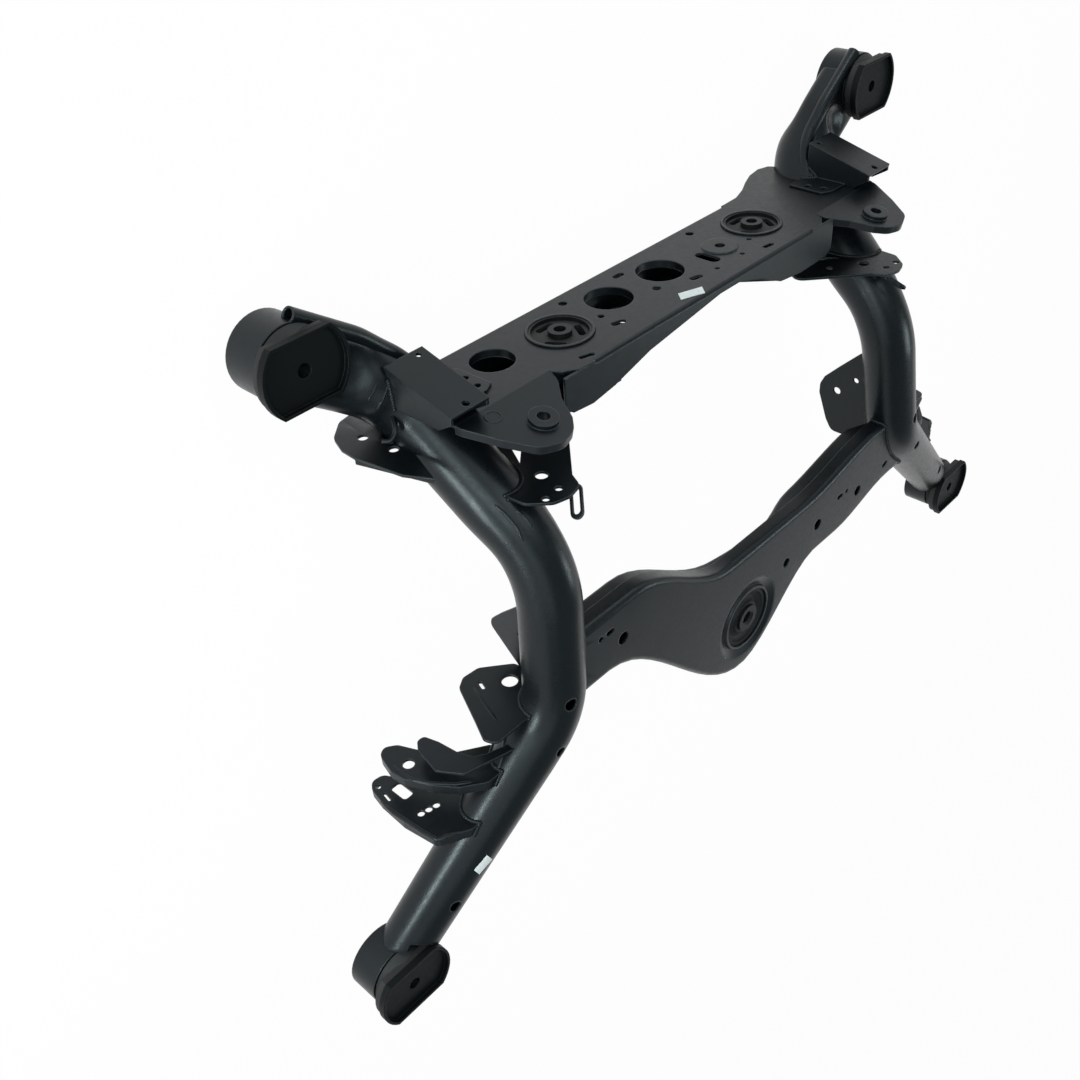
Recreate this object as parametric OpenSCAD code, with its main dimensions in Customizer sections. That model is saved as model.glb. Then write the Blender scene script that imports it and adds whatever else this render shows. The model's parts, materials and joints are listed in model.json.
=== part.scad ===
// Rear subframe of a car: two bent tubular side members, a pressed rear cross-member,
// a pressed front cross-member, four rubber body mounts and three rubber axle mounts.
// X lies across the car, +Y points to its rear and +Z points out of its underside.
// The origin is the middle of the front axle mount bore.

/* [Overall] */
// spacing of the two rear body mounts
rear_span = 920; // [860:1:980]
// spacing of the two front body mounts
front_span = 1155; // [1100:1:1220]
// distance of the rear body mounts behind the rear panel
rear_mount_y = 79; // [60:1:100]
// distance of the front body mounts ahead of the rear panel
front_mount_y = 553; // [520:1:590]
// distance of the front axle mount ahead of the rear panel
axle_front_y = 430; // [400:1:460]
// height of the middle of the front axle mount
axle_front_z = 114; // [100:1:130]

/* [Side members] */
// outside diameter of the bent tube
tube_d = 67; // [58:1:76]
// outside diameter of the tube at the front mount
tube_tip_d = 57; // [48:1:66]
// wall thickness of the tube
tube_wall = 3; // [2:0.5:5]
// bend radius next to the rear arm
bend_rear = 75; // [60:1:90]
// bend radius under the rear cross-member
bend_mid = 130; // [90:1:150]
// bend radius ahead of the front cross-member
bend_front = 95; // [80:1:150]
// width of the pressed rear arm
arm_w = 78; // [60:1:90]
// depth of the pressed rear arm
arm_h = 38; // [32:1:56]

/* [Rear cross-member] */
// sheet thickness of all pressings
sheet = 3; // [2:0.5:5]
// width of the rear panel
panel_w = 129; // [110:1:140]
// depth of the rear wall of the panel
panel_wall = 62; // [40:1:80]
// depth of the front wall near the axle mounts
panel_skirt = 46; // [20:1:50]
// radius of the rolled long edges of the panel
panel_roll = 6; // [4:0.5:7]
// spacing of the two rear axle mounts
axle_span = 336; // [300:1:370]

/* [Front cross-member] */
// height of the face of the front cross-member
cross_z = 138; // [128:1:148]
// depth of the front pressing
cross_h = 22; // [16:1:34]
// depth of the back pressing at its ends
cross_back = 6; // [6:1:30]
// extra depth of the back pressing on the left
cross_deep_l = 16; // [4:1:24]
// extra depth of the back pressing on the right
cross_deep_r = 17; // [4:1:24]
// sideways step of the back pressing
cross_step = 8; // [5:1:14]
// radius of the rolled rear edge of the front pressing
cross_roll_rear = 8; // [5:0.5:11]
// radius of the rolled front edge of the front pressing
cross_roll_front = 10; // [6:0.5:14]
// radius of the rolled edges of the back pressing
cross_roll_back = 5; // [4:0.5:5.5]

/* [Mounts] */
// outside radius of the body mount sleeves
sleeve_r = 38.5; // [34:0.5:44]
// radius of the stop plates
stop_r = 46.5; // [42:0.5:54]
// width of the stop plates across their flats
stop_w = 68; // [54:1:76]
// bolt bore radius of the body mounts
body_bore_r = 7; // [5:0.5:9]
// outside radius of the rear axle mounts
axle_r = 33; // [28:0.5:38]
// bolt bore radius of the rear axle mounts
axle_bore_r = 6.5; // [5:0.5:9]
// outside radius of the front axle mount
nose_r = 41; // [36:0.5:46]
// bolt bore radius of the front axle mount
nose_bore_r = 8; // [6:0.5:11]
// gap left between pieces that are seated on each other
seat = 0.3; // [0.1:0.05:0.5]

/* [Links] */
// bolt hole radius of the lower link brackets
link_bore_r = 6.5; // [5:0.5:8]
// sideways place of the shelf bracket
shelf_x = 327; // [315:1:340]
// width of the shelf bracket
shelf_w = 48; // [40:1:56]
// bolt hole radius of the upper link brackets
upper_bore_r = 5.3; // [4:0.1:7]

/* [Hidden] */
$fa = 6;
$fs = 1.2;
datum = [0, axle_front_y, -axle_front_z];
tube_r = tube_d / 2;
tip_r = tube_tip_d / 2;
wall_r = tube_r - tube_wall;
rear_x = rear_span / 2;
front_x = front_span / 2;
axle_x = axle_span / 2;
// how far outside the front mount's axis the tube meets its sleeve
leg_out = 3.5;
// corner points of the tube axis from the rear mount to the front mount
p_rear = [rear_x, rear_mount_y, -61];
p_arm = [345, -2, -58];
p_low = [320, -150, 112];
p_bow = [340, -323, 128];
p_front = [front_x + leg_out, -front_mount_y, 93.5];
arm_dir = (p_arm - p_rear) / norm(p_arm - p_rear);
arm_yaw = atan2(arm_dir[1], arm_dir[0]);
arm_tilt = asin(arm_dir[2]);
// reach of the box part of the arm and sideways shift of the box
arm_box = 66;
arm_side = 4;
// step between the box part and the part that turns round, and their overlap
arm_step = 2.4;
arm_lap = 3;
// round part of the arm that covers the tube, and how far the tube goes in
arm_r = tube_r + seat + sheet;
tube_in = 45;
// bends are a little thinner than the straight lengths, which reach a little way into them
bend_thin = 0.4;
bend_in = 2;
// how far the roll of a panel edge stands past the flat faces
roll_out = 0.3;
// panel heights across its width
panel_rear = -60;
panel_front = panel_rear + panel_w;
// round openings of the panel: place across the car, height and radius
panel_holes = [[-253, -13, 23.5], [-81, -9, 27], [4, -7, 27.5]];
// bolt line of the lower link at the panel ear and at the gusset, and how far its drill runs on
link_ear = [292, -11, 92];
link_back = [292, -76.5, 84];
link_over = 20;
// lower and upper edge of the shelf bracket's flange, in Y and Z
shelf_low = [43.6, -27];
shelf_high = [20, 60];
// rear faces of the clevis plates and their stiffener
clevis_low_y = -399;
clevis_high_y = -356;
clevis_web_y = -337;
// body mount heights: underside and top of each sleeve, face of each stop plate
rear_low = -83;
rear_top = -41;
rear_face = -18;
front_low = 70;
front_top = 106;
front_face = 132;
// height of the stop plate and the rubber under it
stop_h = 16;
// front edge of the front cross-member on the left, on the right, and past the middle of the axle mount
cross_left = 330;
cross_right = 417;
nose_rim = 79;
// ends of the front cross-member inside the tubes: both left ends, right rear, right front
cross_ends = [-335, 345, 404];
// sections along the front cross-member, steps round each rolled edge and round each corner of an outline
cross_stations = 40;
roll_steps = 4;
corner_steps = 4;
// outer radius and depth of the dished flange round the front axle mount
nose_lip = nose_r + 17;
nose_dish = 5;
// distance from the middle over which the back pressing loses its extra depth before the hangers
back_taper = [270, 318];
// inner face of the hanger plates
hanger_x = 328;
black = [0.09, 0.1, 0.11];
steel = [0.12, 0.13, 0.14];
rubber = [0.03, 0.03, 0.03];
bare = [0.5, 0.5, 0.5];

function unit(v) = v / norm(v);
function turn(p, q, s) = acos(unit(q - p) * unit(s - q));
function run(p, q, s, rb) = rb * tan(turn(p, q, s) / 2);
function ease(a, b, x) = let (t = min(1, max(0, (x - a) / (b - a)))) t * t * (3 - 2 * t);
// front cross-member edges at a station across the car
function edge_rear(x) = -243 - 79 * ease(-215, -40, x) + 26 * ease(120, 290, x);
function edge_front(x) = -cross_left - (axle_front_y + nose_rim - cross_left) * ease(-265, -7, x)
    + (axle_front_y + nose_rim - cross_right) * ease(-7, 150, x) + 25 * ease(200, 330, x);
// depth of the back pressing at a place across the car
function back_depth(x) = cross_back
    + (cross_deep_l * (1 - ease(-110, 30, x)) + cross_deep_r * ease(55, 140, x))
    * (1 - ease(back_taper[0], back_taper[1], abs(x)));
// place of the tube axis across the car on the front leg
function leg_x(y) = p_bow[0] + (p_front[0] - p_bow[0]) * (y - p_bow[1]) / (p_front[1] - p_bow[1]);
function station(a, b, n) = [for (i = [0:n]) a + (b - a) * i / n];
// arc that rounds corner q of an outline between p and s; a corner that hardly turns stays as it is
function corner(p, q, s, r) =
    let (d1 = unit(p - q), d2 = unit(s - q), half = acos(d1 * d2) / 2)
    half > 80 ? [q] :
    let (t = min(r / tan(half), 0.45 * min(norm(p - q), norm(s - q))),
        c = q + unit(d1 + d2) * t / cos(half),
        v = q + d1 * t - c,
        w = q + d2 * t - c,
        a = atan2(v[1], v[0]),
        b = atan2(w[1], w[0]) - a,
        sweep = b > 180 ? b - 360 : b < -180 ? b + 360 : b)
    [for (i = [0:corner_steps]) let (g = a + sweep * i / corner_steps) c + norm(v) * [cos(g), sin(g)]];
function rounded(list, r) =
    let (n = len(list))
    [for (i = [0:n - 1]) each corner(list[(i + n - 1) % n], list[i], list[(i + 1) % n], r)];
function reversed(list) = [for (i = [len(list) - 1:-1:0]) list[i]];

// straight round bar between two points
module rod(p, q, r1, r2) {
    d = q - p;
    translate(p)
        rotate([0, acos(d[2] / norm(d)), atan2(d[1], d[0])])
            cylinder(h = norm(d), r1 = r1, r2 = r2);
}

// round bend at corner q of the path p, q, s
module elbow(p, q, s, rb, r) {
    d1 = unit(q - p);
    d2 = unit(s - q);
    n = unit(cross(d1, d2));
    e = cross(d1, n);
    c = q - d1 * run(p, q, s, rb) - e * rb;
    multmatrix([[e[0], d1[0], n[0], c[0]], [e[1], d1[1], n[1], c[1]], [e[2], d1[2], n[2], c[2]], [0, 0, 0, 1]])
        rotate_extrude(angle = turn(p, q, s))
            translate([rb, 0])
                circle(r = r);
}

// start and end of each bend along the tube axis
arm_1 = p_arm - unit(p_arm - p_rear) * run(p_rear, p_arm, p_low, bend_rear);
arm_2 = p_arm + unit(p_low - p_arm) * run(p_rear, p_arm, p_low, bend_rear);
low_1 = p_low - unit(p_low - p_arm) * run(p_arm, p_low, p_bow, bend_mid);
low_2 = p_low + unit(p_bow - p_low) * run(p_arm, p_low, p_bow, bend_mid);
bow_1 = p_bow - unit(p_bow - p_low) * run(p_low, p_bow, p_front, bend_front);
bow_2 = p_bow + unit(p_front - p_bow) * run(p_low, p_bow, p_front, bend_front);
arm_end = norm(arm_1 - p_rear);

// solid bar along the tube, from inside the arm to a point short of the front mount axis
module tube_bar(r, rt, in, short) {
    d_low = unit(p_low - p_arm);
    rod(low_1 - d_low * in, low_1 + d_low * bend_in, r, r);
    elbow(p_arm, p_low, p_bow, bend_mid, r - bend_thin);
    bow_bar(r, rt, short);
}

// front half of that bar: straight length, bow and tapered leg
module bow_bar(r, rt, short) {
    d_bow = unit(p_bow - p_low);
    d_front = unit(p_front - p_bow);
    rod(low_2 - d_bow * bend_in, bow_1 + d_bow * bend_in, r, r);
    elbow(p_low, p_bow, p_front, bend_front, r - bend_thin);
    rod(bow_2 - d_front * bend_in, p_front - d_front * short, r, rt);
}

// solid bar along the round part of the arm
module arm_bar(r, over) {
    d_low = unit(p_low - p_arm);
    elbow(p_rear, p_arm, p_low, bend_rear, r - bend_thin);
    rod(arm_2 - d_low * bend_in, low_1 + d_low * over, r, r);
}

// room taken by the round part of the arm and by the front half of the tube, with the seat gap
module bend_room() {
    arm_bar(arm_r + seat, seat);
}

module bow_room() {
    bow_bar(tube_r + seat, tip_r + seat, 0);
}

// flat plate square to Y, drawn in X and Z, its rear face at y
module plate_y(y, t) {
    translate([0, y, 0])
        rotate([90, 0, 0])
            linear_extrude(height = t)
                children();
}

// flat plate square to X, drawn in Y and Z, its inner face at x
module plate_x(x, t) {
    translate([x, 0, 0])
        rotate([90, 0, 90])
            linear_extrude(height = t)
                children();
}

// round hole through plates square to Y
module hole_y(x, y, z, r, h) {
    translate([x, y + h / 2, z])
        rotate([90, 0, 0])
            cylinder(h = h, r = r);
}

// slot through plates square to Y, turned by a about its middle
module slot_y(x, y, z, w, l, h, a) {
    translate([x, y + h / 2, z])
        rotate([90, 0, 0])
            rotate([0, 0, a])
                linear_extrude(height = h)
                    slot_shape(w, l);
}

module slot_shape(w, l) {
    square([l - w, w], center = true);
    for (s = [-1, 1])
        translate([s * (l - w) / 2, 0])
            circle(d = w);
}

module round_box(w, h, r) {
    square([w - 2 * r, h], center = true);
    square([w, h - 2 * r], center = true);
    for (x = [-1, 1], y = [-1, 1])
        translate([x * (w / 2 - r), y * (h / 2 - r)])
            circle(r = r);
}

// move to the rear arm: X runs along the arm from the mount, Y to its front side
module on_arm() {
    translate(p_rear)
        rotate([0, 0, arm_yaw])
            rotate([0, -arm_tilt, 0])
                children();
}

// one length of the rear arm box
module arm_slice(x, l, w, h, r) {
    translate([x, -arm_side, 0])
        rotate([90, 0, 90])
            linear_extrude(height = l)
                round_box(w, h, r);
}

module side_member() {
    difference() {
        tube_bar(tube_r, tip_r, tube_in, 0);
        tube_bar(wall_r, tip_r - tube_wall, tube_in + 1, 5);
        translate([front_x, -front_mount_y, 0])
            cylinder(h = 200, r = sleeve_r + seat);
        translate([front_x, -front_mount_y, front_face - stop_h - seat])
            cylinder(h = 60, r = stop_r + 1);
        translate([346, -298, 120])
            cylinder(h = 60, r = 7);
        translate([513, -482, 100])
            cylinder(h = 60, r = 6.5);
        translate([366, -352, 100])
            cylinder(h = 60, r = 6);
    }
}

module side_member_left() {
    color(black) translate(datum) mirror([1, 0, 0]) side_member();
}

module side_member_right() {
    color(black) translate(datum) side_member();
}

// pressed rear arm: box from the mount, rolled rear bead, round end over the tube
module rear_arm() {
    difference() {
        union() {
            on_arm() {
                arm_slice(-10, arm_box + 10, arm_w, arm_h, 13);
                hull() {
                    arm_slice(arm_box - arm_lap, 1, arm_w - arm_step, arm_h - arm_step, 13);
                    translate([arm_end - 1, 0, 0])
                        rotate([0, 90, 0])
                            cylinder(h = 1 + bend_in, r = arm_r, $fn = 40);
                }
                translate([-8, -arm_side - arm_w / 2 + 1, arm_h / 2 - 4])
                    rotate([0, 90, 0])
                        cylinder(h = arm_box + 30, r = 8);
            }
            arm_bar(arm_r, 0);
        }
        on_arm() {
            arm_slice(-20, arm_box + 19, arm_w - 2 * sheet, arm_h - 2 * sheet, 10);
            hull() {
                arm_slice(arm_box - arm_lap - 1, 1, arm_w - 2 * sheet - arm_step, arm_h - 2 * sheet - arm_step, 10);
                translate([arm_end - 1, 0, 0])
                    rotate([0, 90, 0])
                        cylinder(h = 1 + bend_in, r = arm_r - sheet, $fn = 40);
            }
            translate([-9, -arm_side - arm_w / 2 + 1, arm_h / 2 - 4])
                rotate([0, 90, 0])
                    cylinder(h = 30, r = 5.5);
        }
        arm_bar(arm_r - sheet, 1);
        translate([rear_x, rear_mount_y, -150])
            cylinder(h = 200, r = sleeve_r + seat);
    }
}

// room taken by the rear arm, with the seat gap around it
module arm_room() {
    on_arm() {
        arm_slice(-10, arm_box + 12, arm_w + 2 * seat, arm_h + 2 * seat, 13);
        translate([arm_box - 2, 0, 0])
            rotate([0, 90, 0])
                cylinder(h = arm_end - arm_box + 4, r = arm_r + seat);
        translate([-8, -arm_side - arm_w / 2 + 1, arm_h / 2 - 4])
            rotate([0, 90, 0])
                cylinder(h = arm_box + 30 + seat, r = 8 + seat);
    }
}

module rear_arm_left() {
    color(black) translate(datum) mirror([1, 0, 0]) rear_arm();
}

module rear_arm_right() {
    color(black) translate(datum) rear_arm();
}

// bolt line of the lower link, through the ear and the gusset
module link_bolt() {
    d = unit(link_ear - link_back) * link_over;
    rod(link_back - d, link_ear + d, link_bore_r, link_bore_r);
}

// ear of the rear panel, drawn flat in X and Z; it dips toward the link
module ear_shape() {
    polygon(rounded([[232, 45], [238, 62], [255, 82], [268, 108], [280, 121], [300, 127], [322, 118], [341, 88],
        [359, 52], [362, 20], [345, 0], [300, 0], [240, 20]], 20));
}

module ear_place() {
    translate([0, 0, 45])
        rotate([12, 0, 0])
            translate([0, 0, -45])
                children();
}

module ear() {
    difference() {
        ear_place()
            difference() {
                union() {
                    plate_y(0, 9) ear_shape();
                    hole_y(link_ear[0], 1, 93, 15, 8);
                }
                plate_y(-sheet, 12)
                    translate([297, 62])
                        scale(0.93)
                            translate([-297, -62])
                                ear_shape();
            }
        translate([150, -60, -45])
            cube([260, 120, 90]);
    }
    ear_place()
        hole_y(link_ear[0], -3, 93, 15, 8);
}

module panel_shape() {
    polygon([[-345, panel_rear], [196, panel_rear], [222, -61], [246, -69], [268, -80], [292, -90], [316, -94], [332, -89],
        [340, -74], [345, -40], [358, 0], [362, 20], [360, 46], [235, 46], [228, 58], [214, 67], [196, panel_front],
        [-196, panel_front], [-214, 67], [-228, 58], [-235, 46], [-360, 46], [-362, 20], [-358, 0], [-345, -30]]);
}

// what the roll takes off a long edge of the panel, between two places across the car
module panel_edge(x1, x2) {
    difference() {
        translate([x1, -panel_roll, -1])
            cube([x2 - x1, panel_roll + 1, panel_roll + 1]);
        translate([x1 - 1, roll_out - panel_roll, panel_roll - roll_out])
            rotate([0, 90, 0])
                cylinder(h = x2 - x1 + 2, r = panel_roll);
    }
}

// pressed panel that faces the rear, with its long walls and two ears
module rear_panel() {
    color(black) translate(datum)
        difference() {
            union() {
                plate_y(0, sheet) panel_shape();
                ear();
                mirror([1, 0, 0]) ear();
                translate([-300, -panel_wall, panel_rear])
                    cube([500, panel_wall - 1, sheet]);
                translate([0, 0, panel_front - sheet])
                    linear_extrude(height = sheet)
                        polygon([[-236, -1], [-236, 10 - panel_skirt], [-226, 3 - panel_skirt], [-197, -panel_skirt],
                            [-163, 5 - panel_skirt], [-107, -26], [-39, -17], [13, -10], [50, -10], [89, -22],
                            [131, 5 - panel_skirt], [173, -panel_skirt], [226, 1 - panel_skirt],
                            [236, 8 - panel_skirt], [236, -1]]);
                for (h = panel_holes)
                    hole_y(h[0], -5, h[1], h[2] + sheet, 8);
                hole_y(93, -1.5, 9, 21, 6);
            }
            for (h = panel_holes)
                hole_y(h[0], 0, h[1], h[2], 40);
            for (x = [-axle_x, axle_x])
                hole_y(x, 0, 0, axle_r + sheet + seat, 40);
            hole_y(-120, 0, -40, 5, 40);
            hole_y(102, 0, -41, 5, 40);
            hole_y(93, 0, 9, 6, 40);
            hole_y(-33, 0, 18, 5, 40);
            hole_y(-118, 0, 12, 4, 40);
            hole_y(45, 0, 41, 3, 40);
            hole_y(92, 0, 41, 3, 40);
            hole_y(129, 0, 24, 3, 40);
            slot_y(-33, 0, -36, 8, 16, 40, 0);
            slot_y(62, 0, 15, 14, 32, 40, 90);
            slot_y(-118, 0, 36, 8, 18, 40, 15);
            slot_y(13, 0, 36, 8, 17, 40, 15);
            slot_y(-190, 0, 56, 6, 18, 40, 20);
            slot_y(127, 0, 52, 6, 16, 40, 10);
            link_bolt();
            mirror([1, 0, 0]) link_bolt();
            translate([0, 0, panel_rear]) panel_edge(-299, 190);
            translate([0, 0, panel_front]) mirror([0, 0, 1]) panel_edge(-192, 192);
            bend_room();
            mirror([1, 0, 0]) bend_room();
        }
}

// inner pan behind the rear panel
module rear_pan() {
    z1 = panel_rear + sheet + seat;
    z2 = panel_front - sheet - seat;
    color(steel) translate(datum)
        difference() {
            plate_y(-panel_skirt + 6, sheet)
                polygon([[-232, z1], [196, z1], [232, z1 + 10], [232, z2], [136, z2], [90, 12], [-90, 12], [-150, z2],
                    [-232, z2]]);
            for (x = [-axle_x, axle_x])
                hole_y(x, -panel_skirt, 0, axle_r + sheet + seat, 40);
            hole_y(-40, -panel_skirt, -22, 20, 40);
            hole_y(40, -panel_skirt, -22, 20, 40);
        }
}

// housing ring of a rear axle mount, welded through the panel and the pan
module axle_housing(x) {
    color(steel) translate(datum)
        difference() {
            hole_y(x, -24, 0, axle_r + sheet, 52);
            hole_y(x, -24, 0, axle_r + seat, 60);
        }
}

module axle_housing_left() {
    axle_housing(-axle_x);
}

module axle_housing_right() {
    axle_housing(axle_x);
}

// metal shell, rubber body and centre sleeve of a rear axle mount
module axle_shell() {
    color(bare) translate(datum)
        for (x = [-axle_x, axle_x])
            difference() {
                hole_y(x, -24, 0, axle_r, 50);
                hole_y(x, -24, 0, axle_r - 2.5, 60);
            }
}

module axle_rubber() {
    color(rubber) translate(datum)
        for (x = [-axle_x, axle_x])
            difference() {
                hole_y(x, -25, 0, axle_r - 2.5 - seat, 44);
                hole_y(x, -24, 0, 13, 60);
                for (a = [90, 210, 330])
                    translate([x, 0, 0])
                        rotate([0, a, 0])
                            slot_y(21.5, -24, 0, 8, 24, 60, 90);
            }
}

module axle_core() {
    color(steel) translate(datum)
        for (x = [-axle_x, axle_x])
            difference() {
                hole_y(x, -24, 0, 13 - seat, 54);
                hole_y(x, -24, 0, axle_bore_r, 60);
            }
}

// height of the face of a pressing at a place across the car: side 1 is the front pressing, side -1 the back one
function cross_face(x, side) = side > 0 ? cross_z : cross_z - cross_h - back_depth(x);

// section of a pressing at a share t of its length, drawn in by k: foot, rolled edge, face, rolled edge, foot
function cross_section(t, k, side, inset, foot, roll_rear, roll_front) =
    let (xr = cross_ends[0] + t * (cross_ends[1] - cross_ends[0]),
        xf = cross_ends[0] + t * (cross_ends[2] - cross_ends[0]),
        yr = edge_rear(xr) - inset - k,
        yf = edge_front(xf) + inset + k,
        rr = roll_rear - k,
        rf = roll_front - k)
    concat([[xr, yr, foot]],
        [for (a = [0:90 / roll_steps:90])
            [xr, yr + rr * (cos(a) - 1), cross_face(xr, side) - side * (k - rr * (sin(a) - 1))]],
        [for (a = [90:90 / roll_steps:180])
            [xf, yf + rf * (cos(a) + 1), cross_face(xf, side) - side * (k - rf * (sin(a) - 1))]],
        [[xf, yf, foot]]);

// shell lofted through the sections, outer side out and inner side back
module cross_shell(side, inset, foot, roll_rear, roll_front) {
    rings = [for (t = station(0, 1, cross_stations))
        concat(cross_section(t, 0, side, inset, foot, roll_rear, roll_front),
            reversed(cross_section(t, sheet, side, inset, foot, roll_rear, roll_front)))];
    n = len(rings[0]);
    last = cross_stations * n;
    sides = [for (i = [0:cross_stations - 1], j = [0:n - 1]) each
        let (a = i * n + j, b = i * n + (j + 1) % n) [[a, b, b + n], [a, b + n, a + n]]];
    caps = [for (m = [0, last], j = [0:n / 2 - 2]) each
        let (a = m + j, b = a + 1, d = m + n - 1 - j, c = d - 1)
            m == 0 ? [[a, c, b], [a, d, c]] : [[a, b, c], [a, c, d]]];
    faces = concat(sides, caps);
    polyhedron(points = [for (r = rings) each r], faces = side > 0 ? faces : [for (f = faces) reversed(f)]);
}

module cross_holes() {
    translate([-276, -270, 0])
        cylinder(h = 200, r = 3.5);
    translate([-240, -293, 0])
        cylinder(h = 200, r = 8);
    translate([80, -391, 0])
        cylinder(h = 200, r = 7);
    translate([150, -371, 0])
        cylinder(h = 200, r = 8);
    translate([217, -355, 0])
        cylinder(h = 200, r = 3.5);
    translate([247, -371, 0])
        cylinder(h = 200, r = 7.5);
    translate([26, -392, 0])
        cylinder(h = 200, r = 3);
    for (p = [[-261, -270, 0], [201, -355, 0], [316, -365, 20]])
        translate([p[0], p[1], 0])
            rotate([0, 0, p[2]])
                linear_extrude(height = 200)
                    slot_shape(7, 13);
}

// front pressing of the front cross-member, open round the axle mount
module cross_front() {
    color(black) translate(datum)
        difference() {
            cross_shell(1, 0, cross_z - cross_h, cross_roll_rear, cross_roll_front);
            translate([0, -axle_front_y, 0])
                cylinder(h = 200, r = nose_lip + seat);
            cross_holes();
            bow_room();
            mirror([1, 0, 0]) bow_room();
        }
}

// back pressing that closes the front cross-member
module cross_back_shell() {
    color(black) translate(datum)
        difference() {
            cross_shell(-1, cross_step, cross_z - cross_h - seat, cross_roll_back, cross_roll_back);
            translate([0, -axle_front_y, 0])
                cylinder(h = 200, r = nose_r + sheet + seat);
            bow_room();
            mirror([1, 0, 0]) bow_room();
        }
}

// ring that carries the front axle mount through both pressings, with a dished flange in the face
module nose_housing() {
    color(steel) translate(datum)
        translate([0, -axle_front_y, 0])
            rotate_extrude()
                polygon([[nose_r + seat, axle_front_z - 24], [nose_r + sheet, axle_front_z - 24],
                    [nose_r + sheet, cross_z - nose_dish - sheet], [nose_lip, cross_z - sheet], [nose_lip, cross_z],
                    [nose_r + sheet + 2, cross_z - nose_dish], [nose_r + sheet, cross_z - 1], [nose_r + seat, cross_z - 1]]);
}

module nose_rubber() {
    color(rubber) translate(datum)
        translate([0, -axle_front_y, axle_front_z - 22])
            difference() {
                cylinder(h = 42, r = nose_r);
                translate([0, 0, -1])
                    cylinder(h = 60, r = 18 + seat);
                translate([0, 0, 36])
                    rotate_extrude()
                        translate([29, 6])
                            circle(r = 7);
            }
}

module nose_core() {
    color(bare) translate(datum)
        translate([0, -axle_front_y, axle_front_z - 24])
            difference() {
                cylinder(h = 48, r = 18);
                translate([0, 0, -1])
                    cylinder(h = 60, r = nose_bore_r);
                translate([0, 0, 45])
                    cylinder(h = 4, r1 = nose_bore_r, r2 = nose_bore_r + 4);
            }
}

// places for the four body mounts
module rear_pair() {
    for (s = [-1, 1])
        translate([s * rear_x, rear_mount_y, 0])
            children();
}

module front_pair() {
    for (s = [-1, 1])
        translate([s * front_x, -front_mount_y, 0])
            children();
}

module mount_sleeve(z1, z2) {
    translate([0, 0, z1])
        difference() {
            cylinder(h = z2 - z1, r = sleeve_r);
            translate([0, 0, -1])
                cylinder(h = z2 - z1 + 2, r = sleeve_r - sheet);
        }
}

module flat_disc(r, w) {
    intersection() {
        circle(r = r);
        square([2 * r, w], center = true);
    }
}

module mount_rubber(z1, z2, face) {
    difference() {
        union() {
            translate([0, 0, z1 + 2])
                cylinder(h = z2 - z1 + 1, r = sleeve_r - sheet - seat);
            translate([0, 0, z2 + 2])
                cylinder(h = face - z2 - 12, r1 = sleeve_r - 1, r2 = sleeve_r - 8);
            translate([0, 0, face - stop_h])
                linear_extrude(height = 7.7)
                    flat_disc(stop_r - 2, stop_w - 4);
        }
        translate([0, 0, z1 - 1])
            cylinder(h = 200, r = 14 + seat);
    }
}

module mount_core(z1, face) {
    translate([0, 0, z1 - 2])
        difference() {
            cylinder(h = face - 8.3 - z1 + 2, r = 14);
            translate([0, 0, -1])
                cylinder(h = 200, r = body_bore_r);
        }
}

// stop plate with two flats and a raised rim
module stop_plate(face) {
    translate([0, 0, face - 8])
        difference() {
            linear_extrude(height = 8)
                flat_disc(stop_r, stop_w);
            translate([0, 0, 3])
                linear_extrude(height = 8)
                    flat_disc(stop_r - 3, stop_w - 6);
            translate([0, 0, -1])
                cylinder(h = 10, r = body_bore_r);
        }
}

module rear_sleeves() {
    color(black) translate(datum) rear_pair() mount_sleeve(rear_low, rear_top);
}

module front_sleeves() {
    color(black) translate(datum) front_pair() mount_sleeve(front_low, front_top);
}

module rear_mount_rubber() {
    color(rubber) translate(datum) rear_pair() mount_rubber(rear_low, rear_top, rear_face);
}

module front_mount_rubber() {
    color(rubber) translate(datum) front_pair() mount_rubber(front_low, front_top, front_face);
}

module rear_mount_core() {
    color(bare) translate(datum) rear_pair() mount_core(rear_low, rear_face);
}

module front_mount_core() {
    color(bare) translate(datum) front_pair() mount_core(front_low, front_face);
}

module rear_stop_plates() {
    color(black) translate(datum) rear_pair() stop_plate(rear_face);
}

module front_stop_plates() {
    color(black) translate(datum) front_pair() stop_plate(front_face);
}

// lower link gusset ahead of the panel ear, with its cable loop
module link_gusset() {
    difference() {
        union() {
            plate_y(-75, sheet)
                polygon(rounded([[208, 42], [273, 107], [281, 124], [300, 129], [318, 124], [336, 104], [340, 60],
                    [335, 0], [290, -6], [232, 8]], 12));
            translate([284, -75 - sheet, 120])
                rotate([0, 0, -45])
                    rotate([0, -35, 0])
                        translate([14, 0, 0])
                            rotate([90, 0, 0])
                                linear_extrude(height = 2.5)
                                    difference() {
                                        slot_shape(14, 36);
                                        slot_shape(8, 26);
                                    }
        }
        hole_y(257, -76, 58, 4, 20);
        link_bolt();
        hole_y(298, -76, 112, 4, 20);
        hole_y(318, -76, 114, 4, 20);
        plate_y(-70, 12)
            polygon([[252, 20], [273, 22], [290, 53]]);
        bend_room();
    }
}

module link_gusset_left() {
    color(black) translate(datum) mirror([1, 0, 0]) link_gusset();
}

module link_gusset_right() {
    color(black) translate(datum) link_gusset();
}

// shelf bracket over the panel end: sloping top flange, two side walls and a foot on the panel
module shelf_wall() {
    polygon([[shelf_low[0] - sheet / 2, shelf_low[1]], [shelf_high[0] - sheet / 2, shelf_high[1] - 1],
        [12, shelf_high[1] - 1], [seat, 40], [seat, shelf_low[1]]]);
}

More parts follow.
